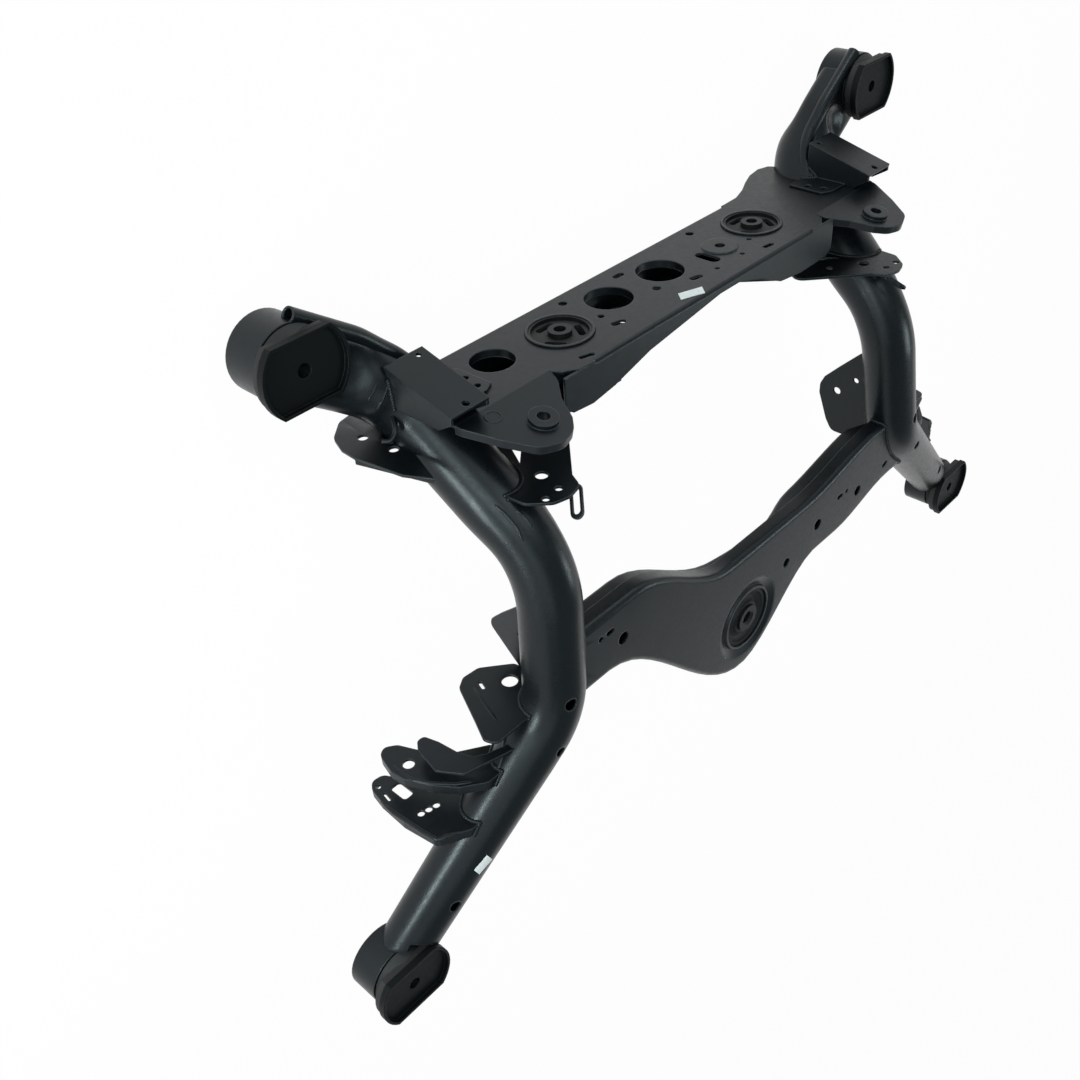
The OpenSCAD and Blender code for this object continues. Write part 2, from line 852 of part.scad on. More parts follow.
module shelf_bracket() {
    rise = shelf_high - shelf_low;
    difference() {
        union() {
            translate([shelf_x, shelf_low[0], shelf_low[1]])
                rotate([atan2(-rise[0], rise[1]), 0, 0])
                    translate([0, -sheet, 0])
                        cube([shelf_w, sheet, norm(rise)]);
            plate_x(shelf_x, sheet) shelf_wall();
            plate_x(shelf_x + shelf_w - sheet, sheet) shelf_wall();
            plate_y(seat + 2.5, 2.5)
                polygon([[288, shelf_low[1]], [shelf_x + 1, shelf_low[1]], [shelf_x + 1, 27], [300, 27], [287, 20]]);
        }
        hole_y(350, 24, 53, 4, 30);
        hole_y(338, 40, -20, 3, 30);
        hole_y(297, 0, -6, 4, 20);
        hole_y(300, 0, 14, 4, 20);
        arm_room();
        bend_room();
    }
}

module shelf_bracket_left() {
    color(black) translate(datum) mirror([1, 0, 0]) shelf_bracket();
}

module shelf_bracket_right() {
    color(black) translate(datum) shelf_bracket();
}

// upper link bracket on the far side of the side member
module upper_bracket() {
    difference() {
        union() {
            plate_y(-41, sheet)
                polygon(rounded([[350, -109], [384, -103], [406, -84], [414, -62], [415, -41], [406, 17], [389, 52],
                    [350, 63]], 16));
            translate([415, -41, -41])
                rotate([0, -16, 0])
                    translate([-sheet, -8, 0])
                        cube([sheet, 7, 98]);
        }
        hole_y(387, -41, -62, upper_bore_r, 20);
        hole_y(382, -41, -22, upper_bore_r, 20);
        bend_room();
    }
}

module upper_bracket_left() {
    color(black) translate(datum) mirror([1, 0, 0]) upper_bracket();
}

module upper_bracket_right() {
    color(black) translate(datum) upper_bracket();
}

// front link clevis, drawn from the tube axis: lower ear with adjuster slot, upper ear and stiffener
module clevis_low_shape() {
    polygon(rounded([[65, 1], [79, -1], [86, 8], [90, 28], [92, 66], [86, 110], [52, 128], [-18, 128], [12, 90],
        [35, 58]], 10));
}

module clevis_high_shape() {
    polygon(rounded([[84, 36], [93, 15], [105, 6], [115, 12], [122, 38], [120, 56], [107, 84], [90, 108], [66, 126],
        [2, 126], [30, 90], [72, 62]], 12));
}

module lipped(y, cx, cz) {
    difference() {
        plate_y(y, 11) children();
        plate_y(y - sheet, 12)
            translate([cx, cz])
                scale(0.94)
                    translate([-cx, -cz])
                        children();
    }
}

module clevis_low() {
    difference() {
        translate([leg_x(clevis_low_y), 0, 0])
            difference() {
                lipped(clevis_low_y, 22, 50) clevis_low_shape();
                plate_y(clevis_low_y + 9, 20)
                    translate([66, 34])
                        round_box(13, 24, 4);
                hole_y(79, clevis_low_y, 10, 3, 20);
                for (i = [0:2])
                    hole_y(55 + 9 * i, clevis_low_y, 76 - 2 * i, 4, 20);
                slot_y(82, clevis_low_y, 28, 3, 13, 20, 80);
            }
        bow_room();
    }
}

module clevis_high() {
    difference() {
        translate([leg_x(clevis_high_y), 0, 0])
            difference() {
                lipped(clevis_high_y, 46, 60) clevis_high_shape();
                hole_y(103, clevis_high_y, 44, link_bore_r, 20);
            }
        bow_room();
    }
}

module clevis_web() {
    difference() {
        translate([leg_x(clevis_web_y), 0, 0])
            plate_y(clevis_web_y, sheet)
                polygon(rounded([[97, 42], [106, 42], [114, 52], [121, 86], [105, 112], [47, 128], [17, 128], [71, 110],
                    [83, 102], [89, 86], [92, 60]], 6));
        bow_room();
    }
}

module clevis_low_left() {
    color(black) translate(datum) mirror([1, 0, 0]) clevis_low();
}

module clevis_low_right() {
    color(black) translate(datum) clevis_low();
}

module clevis_high_left() {
    color(black) translate(datum) mirror([1, 0, 0]) clevis_high();
}

module clevis_high_right() {
    color(black) translate(datum) clevis_high();
}

module clevis_webs() {
    color(black) translate(datum) {
        clevis_web();
        mirror([1, 0, 0]) clevis_web();
    }
}

// pipe bracket behind the bow of the side member
module mid_bracket() {
    difference() {
        plate_y(-309, sheet)
            polygon(rounded([[362, 36], [383, 34], [396, 42], [418, 88], [431, 114], [426, 128], [340, 128],
                [hanger_x + sheet + seat, 100], [hanger_x + sheet + seat, 62], [350, 46]], 9));
        hole_y(354, -310, 76, 9, 20);
        slot_y(378, -310, 58, 4, 12, 20, 70);
        bow_room();
    }
}

module mid_brackets() {
    color(black) translate(datum) {
        mid_bracket();
        mirror([1, 0, 0]) mid_bracket();
    }
}

// hanger plate under the side member; the left one is shorter and has no bolt hole
module hanger(outline) {
    difference() {
        plate_x(hanger_x, sheet)
            polygon(rounded(outline, 12));
        translate([hanger_x - 8, -262, 74])
            rotate([0, 90, 0])
                cylinder(h = 20, r = 4);
        bow_room();
    }
}

module hanger_left() {
    color(black) translate(datum) mirror([1, 0, 0])
        hanger([[-215, 100], [-219, 77], [-246, 47], [-262, 31], [-272, 29], [-308, 66], [-352, 90], [-352, 100]]);
}

module hanger_right() {
    color(black) translate(datum)
        difference() {
            hanger([[-215, 100], [-219, 77], [-249, 47], [-271, 26], [-284, 20], [-298, 20], [-336, 34], [-352, 44],
                [-352, 100]]);
            translate([hanger_x - 8, -287, 47])
                rotate([0, 90, 0])
                    cylinder(h = 20, r = 5.5);
        }
}

/* [Node] */
// name of the piece to draw, or all

side_member_left();
side_member_right();
rear_arm_left();
rear_arm_right();
rear_panel();
rear_pan();
axle_housing_left();
axle_housing_right();
axle_shell();
axle_rubber();
axle_core();
cross_front();
cross_back_shell();
nose_housing();
nose_rubber();
nose_core();
rear_sleeves();
front_sleeves();
rear_mount_rubber();
front_mount_rubber();
rear_mount_core();
front_mount_core();
rear_stop_plates();
front_stop_plates();
link_gusset_left();
link_gusset_right();
shelf_bracket_left();
shelf_bracket_right();
upper_bracket_left();
upper_bracket_right();
clevis_low_left();
clevis_low_right();
clevis_high_left();
clevis_high_right();
clevis_webs();
mid_brackets();
hanger_left();
hanger_right();
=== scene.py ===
"""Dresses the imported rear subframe: coats, rubber, weld beads, blank labels, camera and light."""
import json
import math

import bmesh
import bpy
from mathutils import Matrix, Vector
from mathutils.bvhtree import BVHTree


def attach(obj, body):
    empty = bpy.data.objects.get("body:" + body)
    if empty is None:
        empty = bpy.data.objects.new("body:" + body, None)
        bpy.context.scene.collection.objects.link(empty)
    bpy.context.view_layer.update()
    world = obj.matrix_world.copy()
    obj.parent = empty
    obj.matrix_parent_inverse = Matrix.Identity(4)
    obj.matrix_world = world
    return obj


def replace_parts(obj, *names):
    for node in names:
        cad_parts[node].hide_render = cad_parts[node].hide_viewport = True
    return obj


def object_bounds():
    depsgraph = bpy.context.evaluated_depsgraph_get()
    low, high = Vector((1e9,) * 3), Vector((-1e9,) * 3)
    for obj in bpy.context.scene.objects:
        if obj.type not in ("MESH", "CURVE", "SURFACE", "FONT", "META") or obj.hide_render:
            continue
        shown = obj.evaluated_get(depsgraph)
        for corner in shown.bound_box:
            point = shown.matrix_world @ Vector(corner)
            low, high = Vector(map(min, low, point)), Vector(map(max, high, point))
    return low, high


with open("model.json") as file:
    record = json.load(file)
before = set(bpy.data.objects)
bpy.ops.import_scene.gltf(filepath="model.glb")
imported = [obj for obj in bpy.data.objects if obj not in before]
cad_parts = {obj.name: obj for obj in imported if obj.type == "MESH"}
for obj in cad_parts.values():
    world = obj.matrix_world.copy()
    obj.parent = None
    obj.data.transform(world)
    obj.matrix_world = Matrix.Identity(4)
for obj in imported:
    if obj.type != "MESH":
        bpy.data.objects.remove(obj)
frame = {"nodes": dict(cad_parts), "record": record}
CAD_LOW, CAD_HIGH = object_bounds()

MM = 0.001
SEED = 7
# sign of X on each side of the car
SIDES = {"left": -1, "right": 1}

# camera of the photograph, in the frame of the part
CAMERA_PLACE = Vector((-0.93457, 0.98460, 0.62623))
CAMERA_RIGHT = Vector((0.68343, -0.06283, 0.72731))
CAMERA_UP = Vector((0.47987, 0.78947, -0.38271))
CAMERA_BACK = Vector((-0.55014, 0.61057, 0.56970))
LENS_MM = 38.54
SENSOR_MM = 36.0
PHOTO_SIZE = 1080
# width of a pixel at one metre from the camera
PIXEL = SENSOR_MM / LENS_MM / PHOTO_SIZE

# axis of the right side member, corner by corner from the rear mount to the front mount
REAR_END = Vector((460, 509, -175)) * MM
ARM_CORNER = Vector((345, 428, -172)) * MM
LOW_CORNER = Vector((320, 280, -2)) * MM
BOW_CORNER = Vector((340, 107, 14)) * MM
FRONT_END = Vector((581, -123, -20.5)) * MM
ARM_BEND = 75 * MM
LOW_BEND = 130 * MM
BOW_BEND = 95 * MM
PATH_STEP = 5 * MM

# side member: radius at the arm, along the bow and at the front mount, where each ends, and the wall
SHELL_RADIUS = 36.8 * MM
TUBE_RADIUS = 33.5 * MM
TIP_RADIUS = 28.5 * MM
SHELL_END = 270 * MM
SHELL_FADE = 75 * MM
TAPER_START = 585 * MM
TUBE_WALL = 3 * MM
POINTS_ROUND = 120

# holes of the side member: X, Y and radius of the drain holes, room for the mounts, and cutter heights
DRAIN_HOLES = (((346, 132), 7), ((366, 78), 6), ((513, -52), 6.5))
DRAIN_REACH = (-0.01, 0.12)
FRONT_MOUNT = Vector((577.5, -123, 0)) * MM
REAR_MOUNT = Vector((460, 509, 0)) * MM
SLEEVE_ROOM = 38.8 * MM
FRONT_REACH = (-0.12, 0.12)
REAR_REACH = (-0.30, 0.05)
STOP_ROOM = 47.5 * MM
STOP_REACH = (1.7 * MM, 0.12)
CUTTER_SIDES = 72

# rear arm: half width and height of its box, corner radius, shift to one side, and where the box turns round
ARM_HALF_WIDTH = 39 * MM
ARM_HALF_HEIGHT = 19 * MM
ARM_CORNER_RADIUS = 13 * MM
ARM_SIDE = 4 * MM
ARM_START = 12 * MM
BOX_END = 58 * MM
ROUND_START = 112 * MM

# dish pressed into the arm
DISH_DEPTH = 6 * MM
DISH_MIDDLE = 66 * MM
DISH_REACH = 27 * MM
DISH_FLAT = 0.25

# rolled edge of the arm: its place on the section, how far it sinks in, and its share of thinning
EDGE_ROLL_RADIUS = 8.2 * MM
EDGE_ROLL_WALL = 2 * MM
EDGE_ROLL_ANGLE = math.atan2(15, -38)
EDGE_ROLL_OVERHANG = 15 * MM
EDGE_ROLL_END = 190 * MM
EDGE_ROLL_FADE = 0.55 * EDGE_ROLL_END
EDGE_ROLL_SINK = 1 * MM
EDGE_ROLL_SINK_MORE = 6 * MM
EDGE_ROLL_THINNING = 0.45

# upper link bracket: the part of the plate that the tube hides, in X and Z, and its reach in Y
TRIM_OUTLINE = ((300, -147), (364, -147), (379, -102), (397, -54), (408, -23), (414, 20), (300, 20))
TRIM_REACH = (360, 402)

# weld bead sizes, and which edges of a bracket count as its seam
BEAD_RADIUS = 2.4 * MM
BEAD_PITCH = 2.6 * MM
SEAM_REACH = 0.9 * MM
SEAM_CREASE = math.radians(35)
SEAM_TURN = math.radians(50)
SHORTEST_SEAM = 12 * MM

# each welded piece, whether each side has its own node, and what it is welded to
WELDED = (
    ("link_gusset", True, "rear_arm"),
    ("shelf_bracket", True, "rear_arm"),
    ("clevis_low", True, "side_member"),
    ("clevis_high", True, "side_member"),
    ("hanger", True, "side_member"),
    ("clevis_webs", False, "side_member"),
    ("mid_brackets", False, "side_member"),
    ("cross_front", False, "side_member"),
)

# low ridges of the left side member: places in the photograph, and radius in millimetres
RIDGES = (
    ("shell_ridge_long", ((493, 503), (507, 516), (517, 528), (525, 545)), 2.0),
    ("shell_ridge_short", ((515, 509), (524, 516), (531, 525), (535, 531)), 1.8),
    ("arm_rib_front", ((391, 372), (388, 386), (383, 400), (376, 411)), 1.7),
    ("arm_rib_rear", ((377, 383), (373, 393), (368, 401)), 1.5),
    ("bow_weld_run", ((506, 728), (504, 745), (500, 762), (496, 776)), 3.0),
)
RIDGE_SINK = 0.45
RIDGE_STEP_PIXELS = 3
RIDGE_END = 0.35
RIDGE_FADE = 0.15

# lips of the clevis plates and fold of the pipe bracket: places in the photograph, radius in millimetres
PLATE_FOLDS = (
    ("clevis_low_lip", "clevis_low_left",
     ((381, 801), (394, 812), (409, 822), (424, 832), (437, 839), (449, 837), (463, 832)), 2.6),
    ("clevis_high_lip", "clevis_high_left",
     ((390, 762), (401, 772), (412, 779), (430, 783), (455, 784), (478, 781)), 2.4),
    ("bracket_fold", "mid_brackets", ((473, 686), (481, 699), (490, 712), (498, 722)), 2.0),
)

# corners of the labels and bends of the hook, in places of the photograph
PANEL_LABEL = ((678, 294), (702, 287), (705, 293), (681, 300))
TUBE_LABEL = ((474, 870), (487, 855), (492, 859), (479, 874))
LABEL_LIFT = 0.35 * MM
LABEL_THICKNESS = 0.5 * MM
HOOK_BENDS = ((392, 417), (395, 426), (395, 434), (390, 441), (382, 441))

JOIN_REACH = 0.001 * MM
CAD_JOIN_REACH = 0.002 * MM
SHARP_EDGE = math.radians(32)

# radius of the round floor in metres, and height of the wall round it, which hides the horizon in low views
FLOOR_REACH = 16.0
WALL_RISE = 8.0
FLOOR_SIDES = 96
FLOOR_GAP = 2 * MM
PLAIN_WHITE_SHARE = 0.97

# lamps: what each faces, its offset from there, its width and height in metres, and its watts
MIDDLE = (CAD_LOW + CAD_HIGH) / 2
LEFT_BEND = Vector((-0.33, 0.33, -0.06))
ARM_EDGE = Vector((-0.36, 0.50, -0.15))
LEFT_LEG = Vector((-0.44, 0.05, 0.02))
LAMPS = (
    ("top_light", MIDDLE, Vector((-0.3, 1.5, 1.6)), (1.2, 0.8), 8),
    ("left_strip", LEFT_BEND, Vector((-0.82, 0.0, 0.08)), (0.35, 0.10), 3.5),
    ("right_light", LEFT_BEND, Vector((1.27, -0.24, 1.10)), (0.45, 0.45), 4),
    ("bend_light", LEFT_BEND, Vector((-0.84, 0.56, 0.62)), (0.5, 0.5), 3.5),
    ("bead_light", ARM_EDGE, Vector((0.72, 0.94, 0.24)), (0.5, 0.2), 2.0),
    ("leg_light", LEFT_LEG, Vector((-0.66, 0.12, 0.74)), (0.7, 0.7), 1.4),
    ("camera_fill", MIDDLE, CAMERA_BACK * 1.9 - CAMERA_RIGHT * 0.3 - CAMERA_UP * 0.3, (1.4, 1.4), 3.5),
)
LAMP_COLOUR = "eefafa"
STUDIO_COLOUR = "d6e2e6"
STUDIO_LIGHT = 0.42


def linear(hex_colour):
    """sRGB hex text as a linear colour with alpha."""
    parts = [int(hex_colour[i:i + 2], 16) / 255 for i in (0, 2, 4)]
    return [p / 12.92 if p <= 0.04045 else ((p + 0.055) / 1.055) ** 2.4 for p in parts] + [1.0]


def add(tree, kind, inputs=None, **settings):
    """Adds one node; settings are its own properties, inputs are values or links by socket name or number."""
    made = tree.nodes.new(kind)
    for name, value in settings.items():
        setattr(made, name, value)
    for key, value in (inputs or {}).items():
        if isinstance(value, bpy.types.NodeSocket):
            tree.links.new(value, made.inputs[key])
        else:
            made.inputs[key].default_value = value
    return made


def new_material(name):
    """Empty node material and its node tree."""
    made = bpy.data.materials.new(name)
    made.use_nodes = True
    made.node_tree.nodes.clear()
    return made, made.node_tree


def scale_for(size_mm):
    """Noise scale whose lumps are about this many millimetres across."""
    return 1.0 / (size_mm * MM)


def dip_coated_steel(name, tone, rough, edge_mm, gloss=0.3):
    """Steel with a satin black dip coat: cloudy tone, fine peel, and greyer on the edges, where a thinner worn
    coat and a painted highlight both show.
    """
    material, tree = new_material(name)
    place = add(tree, "ShaderNodeTexCoord").outputs["Object"]
    cloud = add(tree, "ShaderNodeTexNoise", {"Vector": place, "Scale": scale_for(70), "Detail": 4.0,
                                             "Roughness": 0.6})
    dust = add(tree, "ShaderNodeTexNoise", {"Vector": place, "Scale": scale_for(6), "Detail": 6.0,
                                            "Roughness": 0.7})
    # the real peel is under a millimetre, drawn coarser so that it shows
    peel = add(tree, "ShaderNodeTexNoise", {"Vector": place, "Scale": scale_for(2.2), "Detail": 3.0})
    wave = add(tree, "ShaderNodeTexNoise", {"Vector": place, "Scale": scale_for(38), "Detail": 1.0})
    # edge mask from the angle between the rounded and the true normal
    rounded = add(tree, "ShaderNodeBevel", {"Radius": edge_mm * MM}, samples=6)
    true = add(tree, "ShaderNodeNewGeometry")
    cosine = add(tree, "ShaderNodeVectorMath", {0: rounded.outputs[0], 1: true.outputs["Normal"]},
                 operation="DOT_PRODUCT")
    edge = add(tree, "ShaderNodeMapRange", {"Value": cosine.outputs["Value"], "From Min": 0.995,
                                            "From Max": 0.80})
    edge_wear_and_highlight = add(tree, "ShaderNodeMath", {0: edge.outputs[0], 1: dust.outputs["Fac"]}, operation="MULTIPLY")
    tint = add(tree, "ShaderNodeMix", {
        "Factor": cloud.outputs["Fac"], 6: linear(tone[0]), 7: linear(tone[1])}, data_type="RGBA")
    # the lighter edge tone is partly a worn coat and partly a painted highlight along the edges
    worn_and_highlit_tint = add(tree, "ShaderNodeMix", {
        "Factor": edge_wear_and_highlight.outputs[0], 6: tint.outputs[2], 7: linear(tone[2])}, data_type="RGBA")
    shine = add(tree, "ShaderNodeMapRange", {"Value": dust.outputs["Fac"], "From Min": 0.3, "From Max": 0.7,
                                             "To Min": rough - 0.05, "To Max": rough + 0.07})
    fine = add(tree, "ShaderNodeBump", {"Height": peel.outputs["Fac"], "Strength": 0.06, "Distance": 0.4 * MM,
                                        "Normal": rounded.outputs[0]})
    soft = add(tree, "ShaderNodeBump", {"Height": wave.outputs["Fac"], "Strength": 0.04, "Distance": 3 * MM,
                                        "Normal": fine.outputs[0]})
    shader = add(tree, "ShaderNodeBsdfPrincipled", {
        "Base Color": worn_and_highlit_tint.outputs[2], "Roughness": shine.outputs[0], "Normal": soft.outputs[0],
        "IOR": 1.5, "Specular IOR Level": gloss, "Specular Tint": linear("f2fcff")})
    add(tree, "ShaderNodeOutputMaterial", {"Surface": shader.outputs[0]})
    return material


def moulded_rubber():
    """Natural rubber from a mould: matt, nearly black, with a fine grain and a faint grey bloom."""
    material, tree = new_material("moulded_rubber")
    place = add(tree, "ShaderNodeTexCoord").outputs["Object"]
    bloom = add(tree, "ShaderNodeTexNoise", {"Vector": place, "Scale": scale_for(18), "Detail": 5.0})
    # the real grain is about 0.3 mm, drawn coarser so that it shows
    grain = add(tree, "ShaderNodeTexNoise", {"Vector": place, "Scale": scale_for(1.5), "Detail": 4.0})
    tint = add(tree, "ShaderNodeMix", {
        "Factor": bloom.outputs["Fac"], 6: linear("0b0c0d"), 7: linear("1a1b1c")}, data_type="RGBA")
    rough = add(tree, "ShaderNodeMapRange", {"Value": bloom.outputs["Fac"], "To Min": 0.55, "To Max": 0.8})
    bump = add(tree, "ShaderNodeBump", {"Height": grain.outputs["Fac"], "Strength": 0.25,
                                        "Distance": 0.5 * MM})
    shader = add(tree, "ShaderNodeBsdfPrincipled", {
        "Base Color": tint.outputs[2], "Roughness": rough.outputs[0], "Normal": bump.outputs[0], "IOR": 1.52})
    add(tree, "ShaderNodeOutputMaterial", {"Surface": shader.outputs[0]})
    return material


def phosphated_sleeve():
    """Steel sleeve, phosphated dark: dull grey metal, stained and a little rough."""
    material, tree = new_material("phosphated_sleeve_steel")
    place = add(tree, "ShaderNodeTexCoord").outputs["Object"]
    # the real crystals are too fine to see, drawn coarser so that the metal doesn't look polished
    marks = add(tree, "ShaderNodeTexNoise", {"Vector": place, "Scale": scale_for(1.2), "Detail": 2.0})
    stain = add(tree, "ShaderNodeTexNoise", {"Vector": place, "Scale": scale_for(12), "Detail": 5.0})
    tint = add(tree, "ShaderNodeMix", {
        "Factor": stain.outputs["Fac"], 6: linear("1e2022"), 7: linear("34373a")}, data_type="RGBA")
    rough = add(tree, "ShaderNodeMapRange", {"Value": stain.outputs["Fac"], "To Min": 0.35, "To Max": 0.6})
    bump = add(tree, "ShaderNodeBump", {"Height": marks.outputs["Fac"], "Strength": 0.2,
                                        "Distance": 0.2 * MM})
    shader = add(tree, "ShaderNodeBsdfPrincipled", {
        "Base Color": tint.outputs[2], "Metallic": 0.8, "Roughness": rough.outputs[0],
        "Normal": bump.outputs[0]})
    add(tree, "ShaderNodeOutputMaterial", {"Surface": shader.outputs[0]})
    return material


def paper_label():
    """Blank coated paper label: off-white, slightly soiled, with a soft sheen."""
    material, tree = new_material("paper_label")
    place = add(tree, "ShaderNodeTexCoord").outputs["Object"]
    soil = add(tree, "ShaderNodeTexNoise", {"Vector": place, "Scale": scale_for(5), "Detail": 5.0})
    # real fibres are a tenth of a millimetre wide, drawn coarser so that they show
    fibre = add(tree, "ShaderNodeTexNoise", {"Vector": place, "Scale": scale_for(0.8), "Detail": 2.0})
    tint = add(tree, "ShaderNodeMix", {
        "Factor": soil.outputs["Fac"], 6: linear("e6e8e6"), 7: linear("f6f7f5")}, data_type="RGBA")
    bump = add(tree, "ShaderNodeBump", {"Height": fibre.outputs["Fac"], "Strength": 0.1,
                                        "Distance": 0.1 * MM})
    shader = add(tree, "ShaderNodeBsdfPrincipled", {
        "Base Color": tint.outputs[2], "Roughness": 0.5, "Normal": bump.outputs[0]})
    add(tree, "ShaderNodeOutputMaterial", {"Surface": shader.outputs[0]})
    return material


# dark and light of the coat, and its lighter tone on the edges, partly wear and partly painted highlight
COAT_TONES = ("0b0e10", "12161a", "4a5358")
PRESSED_STEEL = dip_coated_steel("dip_coated_pressed_steel", COAT_TONES, rough=0.34, edge_mm=2.0)
TUBE_STEEL = dip_coated_steel("dip_coated_tube_steel", COAT_TONES, rough=0.30, edge_mm=3.0)
WELD_STEEL = dip_coated_steel("dip_coated_weld_bead", ("0c0f11", "14181b", "343a3d"), rough=0.38, edge_mm=0.6)
# darker, less glossy copy of the coat for the stop plates: painted shade of the recessed plates
SHADED_STOP_STEEL = dip_coated_steel("matt_stop_plate_painted_shade", ("060708", "0a0c0d", "22272a"), rough=0.5,
                              edge_mm=1.5, gloss=0.14)
RUBBER = moulded_rubber()
SLEEVE_STEEL = phosphated_sleeve()
LABEL_PAPER = paper_label()

FINISH_OF_SLOT = {"black_coated_steel": PRESSED_STEEL, "mount_rubber": RUBBER, "plated_steel": SLEEVE_STEEL}


def finish_cad_nodes():
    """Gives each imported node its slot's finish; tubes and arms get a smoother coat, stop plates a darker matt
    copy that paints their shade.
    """
    for part in frame["record"]["subparts"]:
        node = frame["nodes"][part["node"]]
        finish = FINISH_OF_SLOT[part["material_slot"]]
        if part["node"].startswith(("side_member", "rear_arm")):
            finish = TUBE_STEEL
        elif part["node"].endswith("stop_plates"):
            finish = SHADED_STOP_STEEL
        node.data.materials.clear()
        node.data.materials.append(finish)


def merged_copy(node):
    """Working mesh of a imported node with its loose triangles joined."""
    work = bmesh.new()
    work.from_mesh(frame["nodes"][node].data)
    bmesh.ops.remove_doubles(work, verts=work.verts, dist=CAD_JOIN_REACH)
    return work


def search_tree(mesh):
    """Search tree of a mesh's surface."""
    return BVHTree.FromPolygons([v.co for v in mesh.vertices], [p.vertices for p in mesh.polygons])


def surface_of(node):
    """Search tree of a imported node's surface."""
    return search_tree(frame["nodes"][node].data)


def line_length(line):
    """Length of a line of points."""
    return sum((b - a).length for a, b in zip(line, line[1:]))


def split_at_turns(points):
    """Cuts a line of points where it turns sharply."""
    lines, line = [], [points[0], points[1]]
    for here in points[2:]:
        before = line[-1] - line[-2]
        after = here - line[-1]
        if before.length > 0 and after.length > 0 and before.angle(after) > SEAM_TURN:
            lines.append(line)
            line = [line[-1]]
        line.append(here)
    return lines + [line]


def seam_lines(piece, carrier):
    """Lines of the sharp edges of one node that lie against another: where the two are welded."""
    tree = surface_of(carrier)
    work = merged_copy(piece)
    near = {v: tree.find_nearest(v.co, SEAM_REACH)[0] is not None for v in work.verts}
    edges = [e for e in work.edges if near[e.verts[0]] and near[e.verts[1]]
             and e.is_manifold and e.calc_face_angle(0) > SEAM_CREASE]
    at = {}
    for edge in edges:
        for vert in edge.verts:
            at.setdefault(vert, []).append(edge)
    left = set(edges)
    lines = []
    starts = sorted(at, key=lambda v: (len(at[v]) == 2, v.index))
    for start in starts:
        for first in at[start]:
            if first not in left:
                continue
            left.discard(first)
            chain = [start, first.other_vert(start)]
            while len(at[chain[-1]]) == 2:
                onward = [e for e in at[chain[-1]] if e in left]
                if not onward:
                    break
                left.discard(onward[0])
                chain.append(onward[0].other_vert(chain[-1]))
            lines += split_at_turns([v.co.copy() for v in chain])
    work.free()
    return [line for line in lines if line_length(line) > SHORTEST_SEAM]


def weld_bead_tree():
    """Geometry nodes: a rippled fillet along every line, of flattened drops that overlap on a round cord."""
    tree = bpy.data.node_groups.new("weld_bead", "GeometryNodeTree")
    tree.interface.new_socket("Geometry", in_out="INPUT", socket_type="NodeSocketGeometry")
    for name in ("Bead radius", "Ripple pitch"):
        tree.interface.new_socket(name, in_out="INPUT", socket_type="NodeSocketFloat")
    tree.interface.new_socket("Finish", in_out="INPUT", socket_type="NodeSocketMaterial")
    tree.interface.new_socket("Geometry", in_out="OUTPUT", socket_type="NodeSocketGeometry")
    given = add(tree, "NodeGroupInput").outputs
    lines = add(tree, "GeometryNodeMeshToCurve", {"Mesh": given["Geometry"]})
    path = add(tree, "GeometryNodeResampleCurve", {
        "Curve": lines.outputs[0], "Length": given["Ripple pitch"]}, mode="LENGTH")
    ring = add(tree, "GeometryNodeCurvePrimitiveCircle", {"Resolution": 8, "Radius": 1.0})
    slim = add(tree, "ShaderNodeMath", {0: given["Bead radius"], 1: 0.9}, operation="MULTIPLY")
    size = add(tree, "GeometryNodeTransform", {"Geometry": ring.outputs[0], "Scale": slim.outputs[0]})
    cord = add(tree, "GeometryNodeCurveToMesh", {"Curve": path.outputs[0], "Profile Curve": size.outputs[0],
                                                 "Fill Caps": True})
    drop = add(tree, "GeometryNodeMeshUVSphere", {"Segments": 10, "Rings": 6, "Radius": 1.0})
    tangent = add(tree, "GeometryNodeInputTangent")
    turn = add(tree, "FunctionNodeAlignEulerToVector", {"Vector": tangent.outputs[0]}, axis="Z")
    wobble = add(tree, "FunctionNodeRandomValue", {"Min": (0.95, 0.95, 0.7), "Max": (1.18, 1.18, 0.9),
                                                   "Seed": SEED}, data_type="FLOAT_VECTOR")
    grow = add(tree, "ShaderNodeVectorMath", {0: wobble.outputs[0], "Scale": given["Bead radius"]},
               operation="SCALE")
    drops = add(tree, "GeometryNodeInstanceOnPoints", {"Points": path.outputs[0], "Instance": drop.outputs[0],
                                                       "Rotation": turn.outputs[0], "Scale": grow.outputs[0]})
    joined = add(tree, "GeometryNodeJoinGeometry")
    tree.links.new(cord.outputs[0], joined.inputs[0])
    tree.links.new(drops.outputs[0], joined.inputs[0])
    solid = add(tree, "GeometryNodeRealizeInstances", {"Geometry": joined.outputs[0]})
    smooth = add(tree, "GeometryNodeSetShadeSmooth", {"Geometry": solid.outputs[0]})
    coated = add(tree, "GeometryNodeSetMaterial", {
        "Geometry": smooth.outputs[0], "Material": given["Finish"]})
    add(tree, "NodeGroupOutput", {0: coated.outputs[0]})
    return tree


